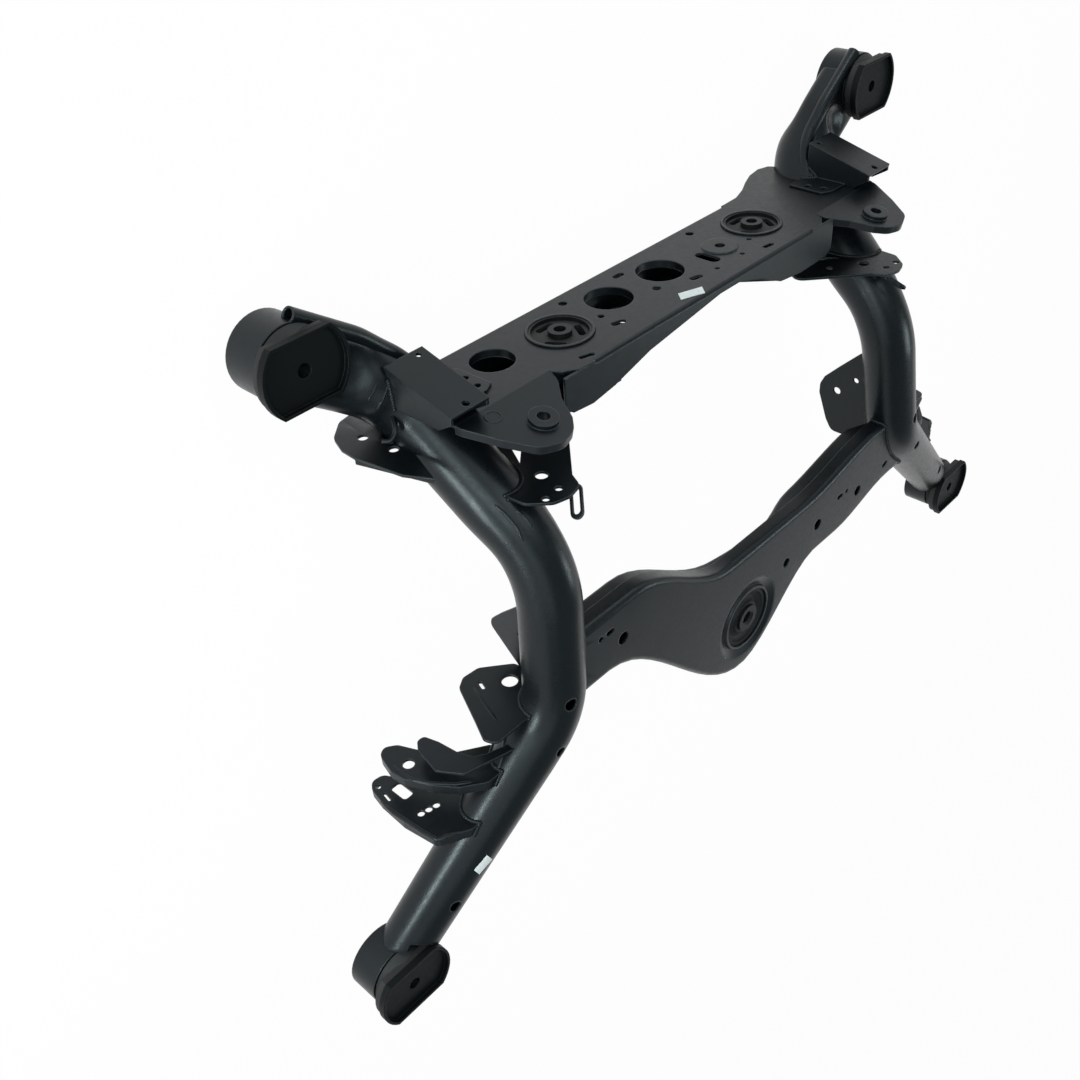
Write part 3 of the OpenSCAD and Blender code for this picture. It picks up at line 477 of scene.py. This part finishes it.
def sweep_tree():
    """Geometry nodes: a round section drawn along every line, as wide as the line's own radius says."""
    tree = bpy.data.node_groups.new("round_sweep", "GeometryNodeTree")
    tree.interface.new_socket("Geometry", in_out="INPUT", socket_type="NodeSocketGeometry")
    tree.interface.new_socket("Sides", in_out="INPUT", socket_type="NodeSocketInt")
    tree.interface.new_socket("Closed ends", in_out="INPUT", socket_type="NodeSocketBool")
    tree.interface.new_socket("Finish", in_out="INPUT", socket_type="NodeSocketMaterial")
    tree.interface.new_socket("Geometry", in_out="OUTPUT", socket_type="NodeSocketGeometry")
    given = add(tree, "NodeGroupInput").outputs
    path = add(tree, "GeometryNodeMeshToCurve", {"Mesh": given["Geometry"]})
    ring = add(tree, "GeometryNodeCurvePrimitiveCircle", {"Resolution": given["Sides"], "Radius": 1.0})
    width = add(tree, "GeometryNodeInputNamedAttribute", {"Name": "sweep_radius"}, data_type="FLOAT")
    skin = add(tree, "GeometryNodeCurveToMesh", {
        "Curve": path.outputs[0], "Profile Curve": ring.outputs[0], "Scale": width.outputs[0],
        "Fill Caps": given["Closed ends"]})
    smooth = add(tree, "GeometryNodeSetShadeSmooth", {"Geometry": skin.outputs[0]})
    solid = add(tree, "GeometryNodeRealizeInstances", {"Geometry": smooth.outputs[0]})
    coated = add(tree, "GeometryNodeSetMaterial", {
        "Geometry": solid.outputs[0], "Material": given["Finish"]})
    add(tree, "NodeGroupOutput", {0: coated.outputs[0]})
    return tree


WELD_TREE = weld_bead_tree()
SWEEP_TREE = sweep_tree()


def set_input(modifier, name, value):
    """Sets a named input of a geometry nodes modifier by its socket's identifier."""
    for item in modifier.node_group.interface.items_tree:
        if item.item_type == "SOCKET" and item.in_out == "INPUT" and item.name == name:
            modifier[item.identifier] = value


def line_mesh(name, lines):
    """Mesh of bare edges along lines of points."""
    mesh = bpy.data.meshes.new(name)
    points, edges = [], []
    for line in lines:
        base = len(points)
        points += [tuple(p) for p in line]
        edges += [(base + i, base + i + 1) for i in range(len(line) - 1)]
    mesh.from_pydata(points, edges, [])
    return mesh


def plain_mesh(piece):
    """Turns a piece with modifiers into a plain mesh."""
    evaluated = piece.evaluated_get(bpy.context.evaluated_depsgraph_get())
    mesh = bpy.data.meshes.new_from_object(evaluated)
    piece.modifiers.clear()
    old = piece.data
    piece.data = mesh
    bpy.data.meshes.remove(old)
    return piece


def new_piece(name, mesh):
    """Object of a mesh, at the origin."""
    piece = bpy.data.objects.new(name, mesh)
    bpy.context.scene.collection.objects.link(piece)
    return piece


def settle(piece):
    """Hands a finished piece to the body."""
    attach(piece, "root")
    return piece


def weld(name, lines):
    """Rippled weld bead along the given lines, as one piece."""
    piece = new_piece(name, line_mesh(name, lines))
    modifier = piece.modifiers.new("weld_bead", "NODES")
    modifier.node_group = WELD_TREE
    set_input(modifier, "Bead radius", BEAD_RADIUS)
    set_input(modifier, "Ripple pitch", BEAD_PITCH)
    set_input(modifier, "Finish", WELD_STEEL)
    return settle(plain_mesh(piece))


def swept(name, line, radii, finish, sides, closed):
    """Round bar along a line of points, with a radius for each point."""
    mesh = line_mesh(name, [line])
    mesh.attributes.new("sweep_radius", "FLOAT", "POINT").data.foreach_set("value", radii)
    piece = new_piece(name, mesh)
    modifier = piece.modifiers.new("round_sweep", "NODES")
    modifier.node_group = SWEEP_TREE
    set_input(modifier, "Sides", sides)
    set_input(modifier, "Closed ends", closed)
    set_input(modifier, "Finish", finish)
    return plain_mesh(piece)


def round_cutter(middle, reach, radius):
    """Solid round bar along Z, used to cut a bore and then removed."""
    low, high = reach
    work = bmesh.new()
    bmesh.ops.create_cone(work, cap_ends=True, segments=CUTTER_SIDES, radius1=radius, radius2=radius,
                          depth=high - low)
    bmesh.ops.translate(work, verts=work.verts, vec=Vector((middle.x, middle.y, (low + high) / 2)))
    mesh = bpy.data.meshes.new("cutter")
    work.to_mesh(mesh)
    work.free()
    return new_piece("cutter", mesh)


def prism_cutter(outline, reach, flip):
    """Solid drawn in X and Z and drawn out along Y, in millimetres, used to trim a plate and then removed."""
    count = len(outline)
    points = [(x * flip * MM, y * MM, z * MM) for y in reach for x, z in outline]
    faces = [tuple(range(count)), tuple(range(2 * count - 1, count - 1, -1))]
    faces += [(i, i + count, (i + 1) % count + count, (i + 1) % count) for i in range(count)]
    mesh = bpy.data.meshes.new("cutter")
    mesh.from_pydata(points, [], faces)
    work = bmesh.new()
    work.from_mesh(mesh)
    bmesh.ops.recalc_face_normals(work, faces=work.faces)
    work.to_mesh(mesh)
    work.free()
    return new_piece("cutter", mesh)


def cut(piece, cutters):
    """Cuts the given solids out of a piece and removes them."""
    for cutter in cutters:
        modifier = piece.modifiers.new("cut", "BOOLEAN")
        modifier.object = cutter
        modifier.operation = "DIFFERENCE"
        modifier.solver = "EXACT"
    plain_mesh(piece)
    for cutter in cutters:
        mesh = cutter.data
        bpy.data.objects.remove(cutter)
        bpy.data.meshes.remove(mesh)
    return piece


def outward(piece, finish):
    """Closes the seams of a piece, turns its faces outwards and keeps only its true edges sharp."""
    work = bmesh.new()
    work.from_mesh(piece.data)
    bmesh.ops.remove_doubles(work, verts=work.verts, dist=JOIN_REACH)
    bmesh.ops.recalc_face_normals(work, faces=work.faces)
    for face in work.faces:
        face.smooth = True
        face.material_index = 0
    work.to_mesh(piece.data)
    work.free()
    piece.data.materials.clear()
    piece.data.materials.append(finish)
    piece.data.set_sharp_from_angle(angle=SHARP_EDGE)
    return piece


def walled(piece, wall):
    """Gives an open skin a wall on its inner side."""
    modifier = piece.modifiers.new("wall", "SOLIDIFY")
    modifier.thickness = wall
    modifier.offset = -1
    modifier.use_even_offset = True
    return plain_mesh(piece)


def hollow(skin, wall, finish):
    """Open skin as a hollow piece with a wall on its inner side."""
    return outward(walled(outward(skin, finish), wall), finish)


def mirrored(points, flip):
    """Points as they are, or their mirror image on the other side of the car where flip is -1."""
    return [Vector((p.x * flip, p.y, p.z)) for p in points]


def smooth_step(low, high, value):
    """0 below low, 1 above high and an even curve between them."""
    t = min(1.0, max(0.0, (value - low) / (high - low)))
    return t * t * (3 - 2 * t)


def bent_path(corners, radii):
    """Points along straight lengths and round bends, each with the direction of travel there."""
    path = [(corners[0], (corners[1] - corners[0]).normalized())]

    def straight(end, heading):
        start = path[-1][0]
        count = max(1, round((end - start).length / PATH_STEP))
        path.extend((start.lerp(end, i / count), heading) for i in range(1, count + 1))

    for before, corner, after, radius in zip(corners, corners[1:], corners[2:], radii):
        ahead = (corner - before).normalized()
        onward = (after - corner).normalized()
        angle = ahead.angle(onward)
        start = corner - ahead * radius * math.tan(angle / 2)
        inward = (onward - ahead * ahead.dot(onward)).normalized()
        straight(start, ahead)
        count = max(6, round(radius * angle / PATH_STEP))
        for i in range(1, count + 1):
            a = angle * i / count
            point = start + ahead * radius * math.sin(a) + inward * radius * (1 - math.cos(a))
            path.append((point, ahead * math.cos(a) + inward * math.sin(a)))
    straight(corners[-1], (corners[-1] - corners[-2]).normalized())
    return path


def distances(path):
    """Distance along a path at each of its points."""
    run = [0.0]
    for (a, _), (b, _) in zip(path, path[1:]):
        run.append(run[-1] + (b - a).length)
    return run


def box_reach(angle):
    """Distance from the middle of the arm's box section to its rounded outline, in one direction."""
    along, up = abs(math.cos(angle)), abs(math.sin(angle))
    flat = Vector((ARM_HALF_WIDTH - ARM_CORNER_RADIUS, ARM_HALF_HEIGHT - ARM_CORNER_RADIUS))
    low, high = 0.0, ARM_HALF_WIDTH + ARM_HALF_HEIGHT
    # the range is halved until the outline is met
    for _ in range(40):
        reach = (low + high) / 2
        x, y = along * reach - flat.x, up * reach - flat.y
        inside = math.hypot(max(x, 0), max(y, 0)) + min(max(x, y), 0) < ARM_CORNER_RADIUS
        low, high = (reach, high) if inside else (low, reach)
    return low


def member_frames():
    """Axis of the right side member: each point, the width and height directions there, and the distance."""
    corners = (REAR_END, ARM_CORNER, LOW_CORNER, BOW_CORNER, FRONT_END)
    path = bent_path(corners, (ARM_BEND, LOW_BEND, BOW_BEND))
    before = path[0][1]
    width = Vector((-before.y, before.x, 0)).normalized()
    frames = []
    for (point, heading), along in zip(path, distances(path)):
        width = before.rotation_difference(heading) @ width
        before = heading
        frames.append((point, width, heading.cross(width), along))
    return frames


def round_radius(along, total):
    """Radius of the member's round part: the arm's shell, the tube, then the taper to the front mount."""
    fade = smooth_step(SHELL_END, SHELL_END + SHELL_FADE, along)
    shell = SHELL_RADIUS + (TUBE_RADIUS - SHELL_RADIUS) * fade
    return shell + (TIP_RADIUS - TUBE_RADIUS) * max(0.0, along - TAPER_START) / (total - TAPER_START)


def member_point(here, total, angle, grow=0.0):
    """Point of the member's skin in one direction of its section, moved out by grow."""
    point, width, height, along = here
    share = smooth_step(BOX_END, ROUND_START, along)
    reach = box_reach(angle) * (1 - share) + round_radius(along, total) * share + grow
    side, up = math.cos(angle) * reach - ARM_SIDE * (1 - share), math.sin(angle) * reach
    if up > 0:
        # shallow dish pressed into the side that faces the underside
        near = math.hypot(side + ARM_SIDE, along - DISH_MIDDLE) / DISH_REACH
        up -= DISH_DEPTH * (1 - smooth_step(DISH_FLAT, 1.0, near))
    return point + width * side + height * up


def smooth_side_members():
    """Side members with one even, hollow skin: a box at the rear mount, round in the bends, then tapered."""
    frames = member_frames()
    total = frames[-1][3]
    count = POINTS_ROUND
    angles = [2 * math.pi * (k + 0.5) / count for k in range(count)]
    rings = [[member_point(here, total, angle) for angle in angles] for here in frames if here[3] > ARM_START]
    faces = [(i + k, i + (k + 1) % count, i + count + (k + 1) % count, i + count + k)
             for i in range(0, (len(rings) - 1) * count, count) for k in range(count)]
    for side, flip in SIDES.items():
        points = [tuple(p) for ring in rings for p in mirrored(ring, flip)]
        mesh = bpy.data.meshes.new("bent_member_" + side)
        mesh.from_pydata(points, [], faces)
        member = walled(outward(new_piece(mesh.name, mesh), TUBE_STEEL), TUBE_WALL)
        front = Vector((FRONT_MOUNT.x * flip, FRONT_MOUNT.y, 0))
        rear = Vector((REAR_MOUNT.x * flip, REAR_MOUNT.y, 0))
        cutters = [round_cutter(rear, REAR_REACH, SLEEVE_ROOM), round_cutter(front, FRONT_REACH, SLEEVE_ROOM),
                   round_cutter(front, STOP_REACH, STOP_ROOM)]
        for (x, y), radius in DRAIN_HOLES:
            cutters.append(round_cutter(Vector((x * flip, y, 0)) * MM, DRAIN_REACH, radius * MM))
        settle(outward(cut(member, cutters), TUBE_STEEL))
        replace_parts(member, "rear_arm_" + side, "side_member_" + side)


def rolled_beads():
    """Rolled rear edge of each arm: a round bead, open at the mount, that sinks into the arm at the bend."""
    frames = member_frames()
    total = frames[-1][3]
    start = frames[0]
    back = (frames[1][0] - start[0]).normalized() * EDGE_ROLL_OVERHANG
    line, radii = [], []
    for here in [(start[0] - back,) + start[1:]] + [here for here in frames if here[3] < EDGE_ROLL_END]:
        fade = smooth_step(EDGE_ROLL_FADE, EDGE_ROLL_END, here[3])
        sink = EDGE_ROLL_SINK + EDGE_ROLL_SINK_MORE * fade
        line.append(member_point(here, total, EDGE_ROLL_ANGLE, -sink))
        radii.append(EDGE_ROLL_RADIUS * (1 - EDGE_ROLL_THINNING * fade))
    for side, flip in SIDES.items():
        roll = swept("rolled_bead_" + side, mirrored(line, flip), radii, TUBE_STEEL, sides=32, closed=False)
        settle(hollow(roll, EDGE_ROLL_WALL, TUBE_STEEL))


def copy_of(node, name):
    """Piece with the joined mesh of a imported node."""
    work = merged_copy(node)
    mesh = bpy.data.meshes.new(name)
    work.to_mesh(mesh)
    work.free()
    return new_piece(name, mesh)


def trimmed_upper_brackets():
    """Upper link brackets without the strip that the tube hides: the plate ends at the tube's outer side."""
    for side, flip in SIDES.items():
        plate = copy_of("upper_bracket_" + side, "upper_link_plate_" + side)
        settle(outward(cut(plate, [prism_cutter(TRIM_OUTLINE, TRIM_REACH, flip)]), PRESSED_STEEL))
        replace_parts(plate, "upper_bracket_" + side)


def smooth_cross_member():
    """The two cross-member pressings with an even sheen along their swept walls."""
    for node, name in (("cross_front", "cross_member_front"), ("cross_back_shell", "cross_member_back")):
        pressing = outward(copy_of(node, name), PRESSED_STEEL)
        # the flat faces keep their own normals, and the rounded edges take up the turn
        modifier = pressing.modifiers.new("even_faces", "WEIGHTED_NORMAL")
        modifier.mode = "FACE_AREA"
        modifier.weight = 100
        modifier.keep_sharp = True
        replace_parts(settle(plain_mesh(pressing)), node)


def weld_brackets():
    """Beads where each bracket meets the arm or the tube that carries it."""
    for side in SIDES:
        for piece, paired, carrier in WELDED:
            lines = seam_lines(piece + "_" + side if paired else piece, carrier + "_" + side)
            if lines:
                weld("weld_%s_%s" % (piece, side), lines)


def photo_ray(column, row):
    """Way from the camera to a place in the photograph, given in pixels, one metre deep."""
    across, up = (column - PHOTO_SIZE / 2) * PIXEL, (PHOTO_SIZE / 2 - row) * PIXEL
    return CAMERA_RIGHT * across + CAMERA_UP * up - CAMERA_BACK


def seen_at(tree, column, row):
    """Point of a surface, and its normal, at a place in the photograph."""
    point, normal, _, _ = tree.ray_cast(CAMERA_PLACE, photo_ray(column, row).normalized())
    return (point, normal) if point else None


def at_depth_of(point, column, row):
    """Point at a place in the photograph, as deep in the view as the given point."""
    return CAMERA_PLACE + photo_ray(column, row) * (CAMERA_PLACE - point).dot(CAMERA_BACK)


def cable_hook(name, tree, places, radius):
    """Bent wire hook that hangs from the arm; the first place in the photograph is where it is welded on."""
    foot, normal = seen_at(tree, *places[0])
    corners = [foot - normal * radius] + [at_depth_of(foot + normal * radius, *place) for place in places[1:]]
    line = []
    steps = 6
    for i in range(len(corners) - 1):
        before, start, end, after = (corners[max(0, min(len(corners) - 1, i + k))] for k in (-1, 0, 1, 2))
        for step in range(steps):
            t = step / steps
            bend = 2 * before - 5 * start + 4 * end - after
            twist = 3 * start - before - 3 * end + after
            line.append(0.5 * (2 * start + (end - before) * t + bend * t * t + twist * t * t * t))
    line.append(corners[-1])
    return settle(swept(name, line, [radius] * len(line), PRESSED_STEEL, sides=16, closed=True))


def pressed_ring(name, tree, middle, size, radius):
    """Low pressed ring on a surface; its middle is a place in the photograph and its size is in metres."""
    point, normal = seen_at(tree, *middle)
    first = normal.orthogonal().normalized()
    second = normal.cross(first)
    count = 40
    ring = []
    for k in range(count):
        angle = 2 * math.pi * k / count
        spot = point + (first * math.cos(angle) + second * math.sin(angle)) * size
        near, out, _, _ = tree.find_nearest(spot)
        ring.append(near - out * radius * RIDGE_SINK)
    return settle(swept(name, ring + ring[:1], [radius] * (count + 1), PRESSED_STEEL, sides=10, closed=True))


def ridge_line(tree, places, radius):
    """Line on a surface along places in the photograph, and the radii of a ridge that fades at both ends."""
    spots = []
    for (x1, y1), (x2, y2) in zip(places, places[1:]):
        count = max(2, round(math.hypot(x2 - x1, y2 - y1) / RIDGE_STEP_PIXELS))
        spots += [(x1 + (x2 - x1) * i / count, y1 + (y2 - y1) * i / count) for i in range(count)]
    spots.append(places[-1])
    hits = [hit for hit in (seen_at(tree, *spot) for spot in spots) if hit]
    line, radii = [], []
    for i, (point, normal) in enumerate(hits):
        end = min(i, len(hits) - 1 - i) / max(1, len(hits) - 1)
        line.append(point - normal * radius * RIDGE_SINK)
        radii.append(radius * (RIDGE_END + (1 - RIDGE_END) * smooth_step(0, RIDGE_FADE, end)))
    return line, radii


def pressed_ridges(tree):
    """Low round ridges along the left side member, sunk by part of their radius."""
    for name, places, radius in RIDGES:
        line, radii = ridge_line(tree, places, radius * MM)
        settle(swept(name, line, radii, TUBE_STEEL, sides=12, closed=True))


def plate_folds():
    """Rounded lips and folds of the bow's plates, traced on the left side and mirrored to the right."""
    for name, plate, places, radius in PLATE_FOLDS:
        line, radii = ridge_line(surface_of(plate), places, radius * MM)
        for side, flip in SIDES.items():
            fold = mirrored(line, -flip)
            settle(swept("%s_%s" % (name, side), fold, radii, PRESSED_STEEL, sides=12, closed=True))


def blind_nut(name, tree, hole, rim, radius, depth):
    """Closed nut behind a hole, so that the hole is dark; hole and rim are in pixels of the photograph."""
    hits = [seen_at(tree, hole[0] + x, hole[1] + y) for x, y in ((-rim, 0), (rim, 0), (0, -rim), (0, rim))]
    centre = sum((point for point, _ in hits), Vector()) / len(hits)
    inward = -sum((normal for _, normal in hits), Vector()).normalized()
    thickness = 2 * MM
    wall = [centre + inward * MM, centre + inward * depth]
    ring = swept(name + "_wall", wall, [radius] * 2, PRESSED_STEEL, sides=32, closed=False)
    settle(hollow(ring, thickness, PRESSED_STEEL))
    base = [centre + inward * (depth - thickness), centre + inward * depth]
    settle(swept(name + "_base", base, [radius - 0.5 * MM] * 2, PRESSED_STEEL, sides=32, closed=True))


def blank_label(name, tree, corners):
    """Blank label stuck on a surface; corners are its four places in the photograph, in order."""
    rows, columns = 5, 9
    first, second, third, fourth = (Vector(corner) for corner in corners)
    grid = []
    for i in range(rows):
        for k in range(columns):
            v, u = i / (rows - 1), k / (columns - 1)
            x, y = (first * (1 - u) + second * u) * (1 - v) + (fourth * (1 - u) + third * u) * v
            point, normal = seen_at(tree, x, y)
            grid.append(point + normal * LABEL_LIFT)
    faces = [(i * columns + k, i * columns + k + 1, (i + 1) * columns + k + 1, (i + 1) * columns + k)
             for i in range(rows - 1) for k in range(columns - 1)]
    mesh = bpy.data.meshes.new(name)
    mesh.from_pydata([tuple(p) for p in grid], [], faces)
    label = new_piece(name, mesh)
    modifier = label.modifiers.new("paper", "SOLIDIFY")
    modifier.thickness = LABEL_THICKNESS
    modifier.offset = 0
    return settle(outward(plain_mesh(label), LABEL_PAPER))


def set_camera():
    """Camera of the photograph."""
    data = bpy.data.cameras.new("photo_camera")
    data.lens = LENS_MM
    data.sensor_width = SENSOR_MM
    data.clip_end = 3 * FLOOR_REACH
    camera = bpy.data.objects.new("photo_camera", data)
    turn = Matrix((CAMERA_RIGHT, CAMERA_UP, CAMERA_BACK)).transposed()
    camera.matrix_world = Matrix.Translation(CAMERA_PLACE) @ turn.to_4x4()
    bpy.context.scene.collection.objects.link(camera)
    bpy.context.scene.camera = camera


def soft_box(name, aim, offset, size, watts):
    """Soft light of the given width and height, offset from the point it faces."""
    data = bpy.data.lights.new(name, "AREA")
    data.shape = "RECTANGLE"
    data.size, data.size_y = size
    data.energy = watts
    data.color = linear(LAMP_COLOUR)[:3]
    lamp = bpy.data.objects.new(name, data)
    lamp.location = aim + offset
    lamp.rotation_mode = "QUATERNION"
    lamp.rotation_quaternion = (-offset).to_track_quat("-Z", "Y")
    bpy.context.scene.collection.objects.link(lamp)


def pale_floor():
    """Matt floor that camera, mirror and glass rays see as plain white, with a little of its shadow kept."""
    material, tree = new_material("pale_floor")
    place = add(tree, "ShaderNodeTexCoord").outputs["Object"]
    mottle = add(tree, "ShaderNodeTexNoise", {"Vector": place, "Scale": scale_for(400)})
    tint = add(tree, "ShaderNodeMix", {
        "Factor": mottle.outputs["Fac"], 6: linear("f0f0f0"), 7: linear("f4f4f4")}, data_type="RGBA")
    matt = add(tree, "ShaderNodeBsdfDiffuse", {"Color": tint.outputs[2]})
    path = add(tree, "ShaderNodeLightPath").outputs
    seen = add(tree, "ShaderNodeMath", {0: path["Is Camera Ray"], 1: path["Is Glossy Ray"]},
               operation="MAXIMUM")
    seen = add(tree, "ShaderNodeMath", {0: seen.outputs[0], 1: path["Is Transmission Ray"]},
               operation="MAXIMUM")
    share = add(tree, "ShaderNodeMath", {0: seen.outputs[0], 1: PLAIN_WHITE_SHARE}, operation="MULTIPLY")
    white = add(tree, "ShaderNodeEmission", {"Color": (1, 1, 1, 1), "Strength": 1.0})
    pale = add(tree, "ShaderNodeMixShader", {0: share.outputs[0], 1: matt.outputs[0], 2: white.outputs[0]})
    add(tree, "ShaderNodeOutputMaterial", {"Surface": pale.outputs[0]})
    return material


def set_stage():
    """Round pale floor with a pale wall, grey studio and soft lights."""
    count = FLOOR_SIDES
    angles = [2 * math.pi * k / count for k in range(count)]
    rim = [(FLOOR_REACH * math.cos(angle), FLOOR_REACH * math.sin(angle), height)
           for height in (0, WALL_RISE) for angle in angles]
    wall = [(k, (k + 1) % count, count + (k + 1) % count, count + k) for k in range(count)]
    mesh = bpy.data.meshes.new("floor")
    mesh.from_pydata(rim, [], [tuple(range(count))] + wall)
    mesh.transform(Matrix.Translation((MIDDLE.x, MIDDLE.y, CAD_LOW.z - FLOOR_GAP)))
    mesh.materials.append(pale_floor())
    new_piece("floor", mesh)

    world = bpy.data.worlds.new("studio")
    world.use_nodes = True
    sky = world.node_tree
    sky.nodes.clear()
    soft = add(sky, "ShaderNodeBackground", {"Color": linear(STUDIO_COLOUR), "Strength": STUDIO_LIGHT})
    add(sky, "ShaderNodeOutputWorld", {"Surface": soft.outputs[0]})
    bpy.context.scene.world = world
    for lamp in LAMPS:
        soft_box(*lamp)
    bpy.context.scene.view_settings.view_transform = "Standard"


finish_cad_nodes()
smooth_side_members()
rolled_beads()
trimmed_upper_brackets()
smooth_cross_member()
weld_brackets()
left_member = search_tree(bpy.data.objects["bent_member_left"].data)
panel = surface_of("rear_panel")
blank_label("panel_label", panel, PANEL_LABEL)
blank_label("tube_label", left_member, TUBE_LABEL)
pressed_ridges(left_member)
plate_folds()
cable_hook("cable_hook", left_member, HOOK_BENDS, 2.6 * MM)
blind_nut("cross_nut", surface_of("cross_front"), hole=(787, 562), rim=12, radius=9 * MM, depth=14 * MM)
pressed_ring("ear_ring", panel, middle=(493, 417), size=8 * MM, radius=1.2 * MM)
set_camera()
set_stage()
